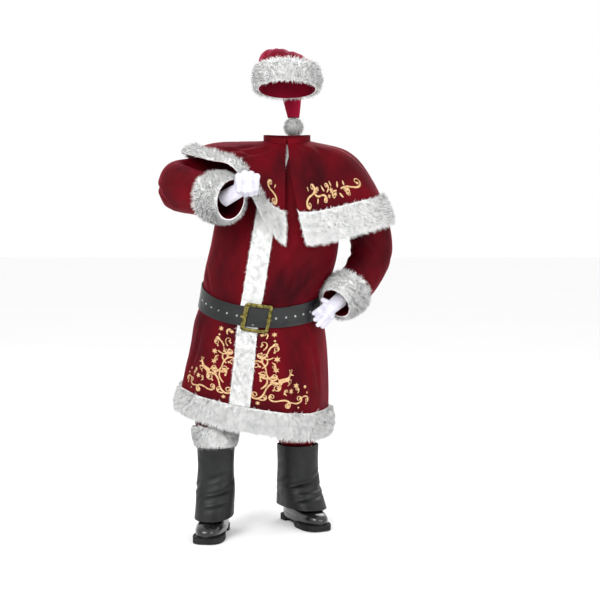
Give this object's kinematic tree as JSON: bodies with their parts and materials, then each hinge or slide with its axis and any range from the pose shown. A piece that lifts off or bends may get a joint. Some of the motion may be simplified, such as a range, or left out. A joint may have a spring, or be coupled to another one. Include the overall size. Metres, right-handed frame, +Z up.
{
  "type": "santa suit (worn set: hat, cape, coat, belt, trousers, gloves, boots)",
  "caption": "Red velvet santa suit in a worn pose, empty: hat, shoulder cape, belted knee-length coat with white fur trim, trousers, gloves and boots.",
  "frame": {"origin": "base of the neck, at the middle of the neck opening, where the shoulders carry the coat and cape", "axes": "+Z up, -Y is the way the suit faces, +X towards the wearer's left"},
  "size_m": [0.8777, 0.613, 1.8131],
  "materials": {
    "velvet": "deep red velvet with a soft sheen",
    "hat_velvet": "brighter crimson velvet",
    "fur": "long white plush fur",
    "gold_print": "pale gold print",
    "belt_leather": "black grained leatherette, satin",
    "boot_leather": "black leatherette, dull satin",
    "shoe_leather": "black, polished",
    "sole_rubber": "black, matt",
    "glove_cloth": "fine white knit",
    "brass": "antique brass, worn",
    "eyelet_metal": "bright nickel"
  },
  "bodies": {
    "root": {"belt_strap": "belt_leather", "boot_shaft_left": "boot_leather", "boot_shaft_right": "boot_leather", "boot_sole_left": "sole_rubber", "boot_sole_right": "sole_rubber", "boot_upper_left": "shoe_leather", "boot_upper_right": "shoe_leather", "buckle_frame": "brass", "buckle_prong_loop": "brass", "buckle_prong_tip": "brass", "cape_hem_fur_left": "fur", "cape_hem_fur_right": "fur", "cape_left": "velvet", "cape_neck_band": "velvet", "cape_right": "velvet", "coat_back": "velvet", "coat_cuff_fur_left": "fur", "coat_cuff_fur_right": "fur", "coat_front_left": "velvet", "coat_front_right": "velvet", "coat_hem_fur_left": "fur", "coat_hem_fur_right": "fur", "coat_neck_band": "velvet", "coat_placket_fur": "fur", "coat_sleeve_left": "velvet", "coat_sleeve_right": "velvet", "glove_left": "glove_cloth", "glove_right": "glove_cloth", "hat_brim_fur": "fur", "hat_crown": "hat_velvet", "hat_pompom": "fur", "trouser_cuff_fur_left": "fur", "trouser_cuff_fur_right": "fur", "trouser_leg_left": "velvet", "trouser_leg_right": "velvet", "trouser_waistband": "velvet"}
  },
  "joints": []
}
